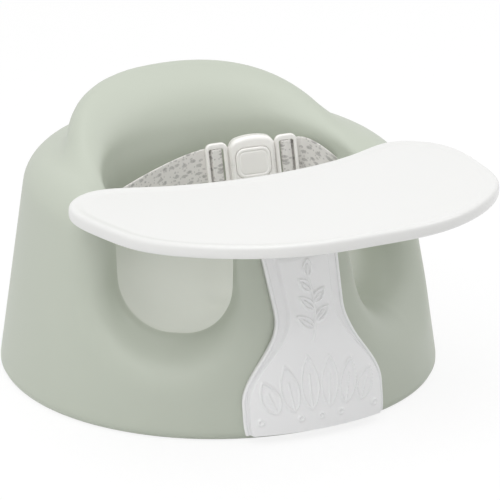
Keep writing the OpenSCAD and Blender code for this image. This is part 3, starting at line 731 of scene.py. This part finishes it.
def level(outline, y):
    """An outline seen from the front, set at a depth in the buckle's frame."""
    return np.column_stack([outline[:, 0], np.broadcast_to(y, len(outline)), outline[:, 1]])


def housing(depth, sign, opening):
    """One half of the housing: a rounded shell, with the button's opening or closed."""
    w, h = BUCKLE_WIDTH, BUCKLE_HEIGHT

    def outer(inset, y, wall=0):
        # The sides draw in towards the bottom and the top edge is a dome
        ring = rounded_outline(w - 2 * inset - 2 * wall, h - 2 * inset - 2 * wall,
                               max(HOUSING_CORNER - inset - wall, 2.5), 9, 12)
        ring[:, 1] -= HOUSING_DOME * (ring[:, 0] / (w / 2)) ** 2 * (ring[:, 1] > 0)
        ring[:, 0] *= 1 - HOUSING_TAPER * (1 - ring[:, 1] / (h / 2))
        return level(ring, y)

    def parting(ring):
        # Mouths for the tongues at the sides, and for the crotch webbing below
        x, z = ring[:, 0], ring[:, 2]
        side = (np.abs(z) < 16.6) & (np.abs(x) > w / 2 - 4.5)
        below = (z < -h / 2 + 4) & (np.abs(x) < 13.2)
        ring[:, 1] = np.where(side | below, sign * 1.6, 0)
        return ring

    def window(grow, y):
        return level(rounded_outline(BUTTON_WIDTH + 0.8 + 2 * grow, BUTTON_HEIGHT + 0.8 + 2 * grow,
                                     8.4 + grow, 9, 12), y)

    rings = [parting(outer(0.25, 0)), outer(0, sign * 1.9)]
    radius = 4.2
    for a in np.linspace(0, 90, 9):
        t = math.radians(a)
        y = sign * (depth - radius + radius * math.sin(t)) - sign * 0.25
        rings.append(outer(radius * (1 - math.cos(t)), y))
    shape = Shape()
    if opening:
        rings += [window(grow, y - depth) for grow, y in ((1.6, 0), (0.9, -0.02), (0.4, 0.12),
                                                          (0.1, 0.4), (0, 0.8), (0, 2))]
        rings += [outer(0, -depth + 2, 2), parting(outer(0, 0, 2))]
        return shape.loft(rings, loop=True)
    rings += [outer(8, sign * (depth + 0.1)), outer(16, sign * (depth + 0.2)),
              outer(20.5, sign * (depth + 0.2))]
    inner = [outer(inset, sign * (depth - 2), 2) for inset in (18, 12, 0)]
    return shape.loft(inner + [parting(outer(0, 0, 2))] + rings)


def disc_rings(profile):
    """Rings round the buckle's Y axis from (radius, y) pairs."""
    turn = np.linspace(0, 2 * math.pi, 24, endpoint=False)
    return [np.stack([r * np.cos(turn), np.full(24, y), r * np.sin(turn)], 1) for r, y in profile]


def button():
    """The button's cap with a ring pressed into its face, its skirt, and the pin behind it."""
    def cap(inset, y):
        return level(rounded_outline(BUTTON_WIDTH - 2 * inset, BUTTON_HEIGHT - 2 * inset,
                                     max(8.0 - inset, 1.0), 9, 12), y)

    shape = Shape().loft([cap(inset, y) for inset, y in BUTTON_PROFILE])
    return shape.loft(disc_rings(((3.2, -4.3), (3.2, -2.3), (2.9, -1.9), (2.0, -1.9))))


def set_buckle_part(name, shape, body, mat, node):
    shape.points = [placed(p) for p in shape.points]
    shape_object(name, shape, body, mat, node)


def make_buckle(mat):
    back = housing(6.5, 1, False).loft(disc_rings(((3.2, 5.0), (3.2, 2.9), (2.9, 2.5), (2.0, 2.4))))
    set_buckle_part("buckle_face", housing(8, -1, True), "seat", mat, "buckle_front")
    set_buckle_part("buckle_rear", back, "seat", mat, "buckle_back")
    set_buckle_part("button_cap", button(), "button", mat, "release_button")
    for hand, side in ((-1, "left"), (1, "right")):
        shape = tongue()
        shape.points = [p * [hand, 1, 1] for p in shape.points]
        set_buckle_part(f"tongue_frame_{side}", shape, f"tongue_{side}", mat,
                        f"tongue_{side}")


def quarter(radius, count):
    """(inset, rise) pairs round a quarter circle."""
    return [(radius * (1 - math.cos(a)), radius * math.sin(a))
            for a in np.linspace(0, math.pi / 2, count)]


def tongue():
    """A frame with rounded bars and a window for the webbing, its middle bar, and the blade."""
    near, far, half, thick = 21.2, 41.6, 20.3, 2.5
    mid = (near + far) / 2

    def outer(inset, y):
        outline = rounded_outline(far - near - 2 * inset, 2 * half - 2 * inset, 6.0 - inset * 0.8, 7, 10)
        return level(outline + [mid, 0], y)

    def inner(grow, y):
        outline = rounded_outline(13.0 + 2 * grow, 30 + 2 * grow, 1.8 + grow, 7, 10)
        return level(outline + [mid + 0.35, 0], y)

    arc, small = quarter(1.6, 7), quarter(1.1, 6)
    rings = [outer(i, -(thick - 1.6) - y) for i, y in arc]
    rings += [inner(i, -(thick - 1.1) - y) for i, y in small[::-1]]
    rings += [inner(i, (thick - 1.1) + y) for i, y in small]
    rings += [outer(i, (thick - 1.6) + y) for i, y in arc[::-1]]
    shape = Shape().loft(rings, loop=True)
    bar = rounded_outline(2.4, 2.6, 0.8, 4, 2)
    shape.loft([np.column_stack([31.5 + bar[:, 0], bar[:, 1], np.full(len(bar), z)])
                for z in (-15.5, -8, 0, 8, 15.5)])
    rings = []
    for inset, x in ((0.4, 14), (0, 14.5), (0, 18), (0, 22.5)):
        b = rounded_outline(2 - 2 * inset, 31 - 2 * inset, 0.5, 3, 6)
        rings.append(np.column_stack([np.full(len(b), x), b[:, 0], b[:, 1]]))
    return shape.loft(rings)


def make_spring(mat):
    """The button's coil spring, wound at its rest length."""
    coils, steps, radius, wire, front, rear = 4, 24, 4.2, 0.45, -3.6, 4.0
    around = np.linspace(0, 2 * math.pi, 10, endpoint=False)[:, None]
    axis = np.array([0.0, 1.0, 0.0])
    rings = []
    for i in range(coils * steps + 1):
        a = 2 * math.pi * i / steps
        out = np.array([math.cos(a), 0.0, math.sin(a)])
        middle = radius * out + axis * mix(front, rear, i / (coils * steps))
        rings.append(placed(middle + wire * (out * np.cos(around) + axis * np.sin(around))))
    made = shape_object("button_coil", Shape().loft(rings), "seat", mat, "button_spring")
    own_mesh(made)


# ---------- the webbing ----------
WRAP = [[45.5, 5.9], [40.5, 5.7], [36, 5.3], [31, 4.2], [27.9, 2.6], [27.3, 0], [28.4, -2.2], [30.5, -2.9],
        [32.7, -2.9], [34.7, -2.2], [35.6, 0], [36.3, 2.4], [38.8, 3.75], [42.5, 3.8]]
WEB_WIDTH, WEB_THICK, CROTCH_WIDTH = 30.0, 1.6, 25.0


def through(points, per):
    """A smooth open path through points."""
    p = np.asarray(points, float)
    p = np.concatenate([[2 * p[0] - p[1]], p, [2 * p[-1] - p[-2]]])
    out = []
    for i in range(1, len(p) - 2):
        a, b, c, d = p[i - 1:i + 3]
        t = np.linspace(0, 1, per, endpoint=False)[:, None]
        out.append(0.5 * (2 * b + (c - a) * t + (2 * a - 5 * b + 4 * c - d) * t ** 2
                          + (3 * b - a - 3 * c + d) * t ** 3))
    return np.concatenate(out + [p[-2:-1]])


def bezier(a, b, c, d, steps):
    t = np.linspace(0, 1, steps + 1)[:, None]
    a, b, c, d = (np.asarray(v, float) for v in (a, b, c, d))
    return a * (1 - t) ** 3 + b * 3 * t * (1 - t) ** 2 + c * 3 * t * t * (1 - t) + d * t ** 3


def make_web(name, path, across, width, body, mat, node):
    """A woven band along a path: a thin skin with rounded edges, its length and width as UV."""
    d = unit(np.gradient(path, axis=0))
    w = unit(across - d * (across * d).sum(-1, keepdims=True))
    n = np.cross(d, w)
    h = WEB_THICK / 2
    edge = np.linspace(-1, 1, 11) * (width / 2 - h)
    top = [(e, h) for e in edge]
    curl = [(width / 2 - h + h * math.sin(a), h * math.cos(a))
            for a in np.radians([45, 90, 135])]
    section = top + curl + [(e, -h) for e in edge[::-1]] + [(-x, y) for x, y in curl[::-1]]
    run = np.concatenate([[0], np.cumsum(np.linalg.norm(np.diff(path, axis=0), axis=1))])
    rings = np.stack([path + w * s + n * t for s, t in section], 1)
    uv = np.stack([np.broadcast_to(run[:, None], rings.shape[:2]),
                   np.broadcast_to(np.array([s for s, _ in section]), rings.shape[:2])], -1)
    shape = Shape().loft(rings)
    uv = np.concatenate([uv.reshape(-1, 2), [[0, 0], [run[-1], 0]]])
    return shape_object(name, shape, body, mat, node, uv)


def make_webbing(mat):
    up = placed([0, 0, 1], at=False)
    for hand, side, b, near, end, low in (
            (-1, "left", (-62, 5, -2), (-72, 24, 158), (-126, -14, 152), (0.05, 0, 1)),
            (1, "right", (51, 5.8, 0), (110, -39, 169), (107, 28, 133), (0, 0.3, 1))):
        wrap = through(placed([(hand * x, y, 0) for x, y in WRAP]), 6)
        run = bezier(placed([hand * 45, 3.8, 0]), placed(b), near, end, 60)
        share = smooth(np.linspace(0, 1, 61))[:, None]
        across = np.concatenate([np.broadcast_to(up, wrap.shape), mix(up, np.array(low), share)])
        strap = make_web(f"waist_web_{side}", np.concatenate([wrap, run]), across, WEB_WIDTH,
                         None, mat, f"strap_{side}")
        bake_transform(strap)
    path = bezier(placed([0, 0, -20]), placed([0, -1, -88]), (6, -74, 56), (0, -122, 88), 70)
    share = smooth(np.linspace(0, 1, 71))[:, None]
    across = mix(placed([1, 0, 0], at=False), np.array([1.0, 0, 0]), share)
    make_web("crotch_web", path, across, CROTCH_WIDTH, "seat", mat, "crotch_strap")


# ---------- stage and light ----------
SKY = 0.52      # strength of the light from the surroundings
# (name, place, size in metres, watts)
LAMPS = (("key", (-1.3, -1.2, 2.3), 1.6, 18.2),
         ("top", (0.0, 0.0, 2.8), 1.8, 17.2),
         ("side", (-2.2, -0.2, 1.8), 1.6, 6.0),
         ("fill", (2.0, -0.3, 1.9), 1.6, 10.0))
LAMP_AIM = Vector((0, -0.03, 0.1))


def seen_straight(n):
    """1 for rays from the camera and for what is mirrored or shines through."""
    path = n.add("ShaderNodeLightPath")
    seen = n.math("MAXIMUM", path.outputs["Is Camera Ray"], path.outputs["Is Glossy Ray"])
    return n.math("MAXIMUM", seen, path.outputs["Is Transmission Ray"])


def make_stage():
    bpy.ops.mesh.primitive_plane_add(size=14, location=(0, 0, -0.0004))
    floor = bpy.context.object
    floor.name = "floor"
    made = bpy.data.materials.new("floor")
    made.use_nodes = True
    n = Nodes(made.node_tree)
    made.node_tree.nodes.remove(made.node_tree.nodes["Principled BSDF"])
    out = made.node_tree.nodes["Material Output"]
    seen = seen_straight(n)
    matt = n.add("ShaderNodeBsdfDiffuse", {"Color": (0.86, 0.86, 0.86, 1)})
    glow = n.add("ShaderNodeEmission", {"Color": (1, 1, 1, 1), "Strength": 1.06})
    share = n.math("MULTIPLY", seen, 0.8)
    mixed = n.add("ShaderNodeMixShader", {0: share, 1: matt.outputs[0], 2: glow.outputs[0]})
    n.tree.links.new(mixed.outputs[0], out.inputs["Surface"])
    floor.data.materials.append(made)


def make_lights():
    world = bpy.data.worlds.new("world")
    bpy.context.scene.world = world
    world.use_nodes = True
    n = Nodes(world.node_tree)
    seen = seen_straight(n)
    sky = world.node_tree.nodes["Background"]
    sky.inputs["Color"].default_value = (1, 1, 1, 1)
    n.tree.links.new(n.math("MULTIPLY_ADD", seen, 1.0 - SKY, SKY), sky.inputs["Strength"])
    for name, place, size, power in LAMPS:
        data = bpy.data.lights.new(name, "AREA")
        data.size = size
        data.energy = power
        lamp = bpy.data.objects.new(name, data)
        lamp.location = place
        lamp.rotation_euler = (LAMP_AIM - Vector(place)).to_track_quat("-Z", "Y").to_euler()
        bpy.context.collection.objects.link(lamp)


make_camera()
make_stage()
make_lights()
bpy.context.scene.view_settings.view_transform = "Standard"
foam = foam_material()
tray_mat = plastic_material("tray", (0.855, 0.855, 0.84), 0.3, 0.03, 0.3)
stem_mat = plastic_material("stem", (0.95, 0.95, 0.955), 0.36, 0.05, 0.7, 1.0)
buckle_mat = plastic_material("buckle", (0.97, 0.95, 0.92), 0.36, 0.05, 0.7, 1.0)
steel_mat = steel_material()
web_mat = web_material()
make_seat(foam)
make_tray(tray_mat)
make_stem(stem_mat)
make_buckle(buckle_mat)
make_spring(steel_mat)
make_webbing(web_mat)

for node in ("tray_screws", "anchor_left", "anchor_right", "anchor_crotch"):
    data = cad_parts[node].data
    data.materials.clear()
    data.materials.append(steel_mat)
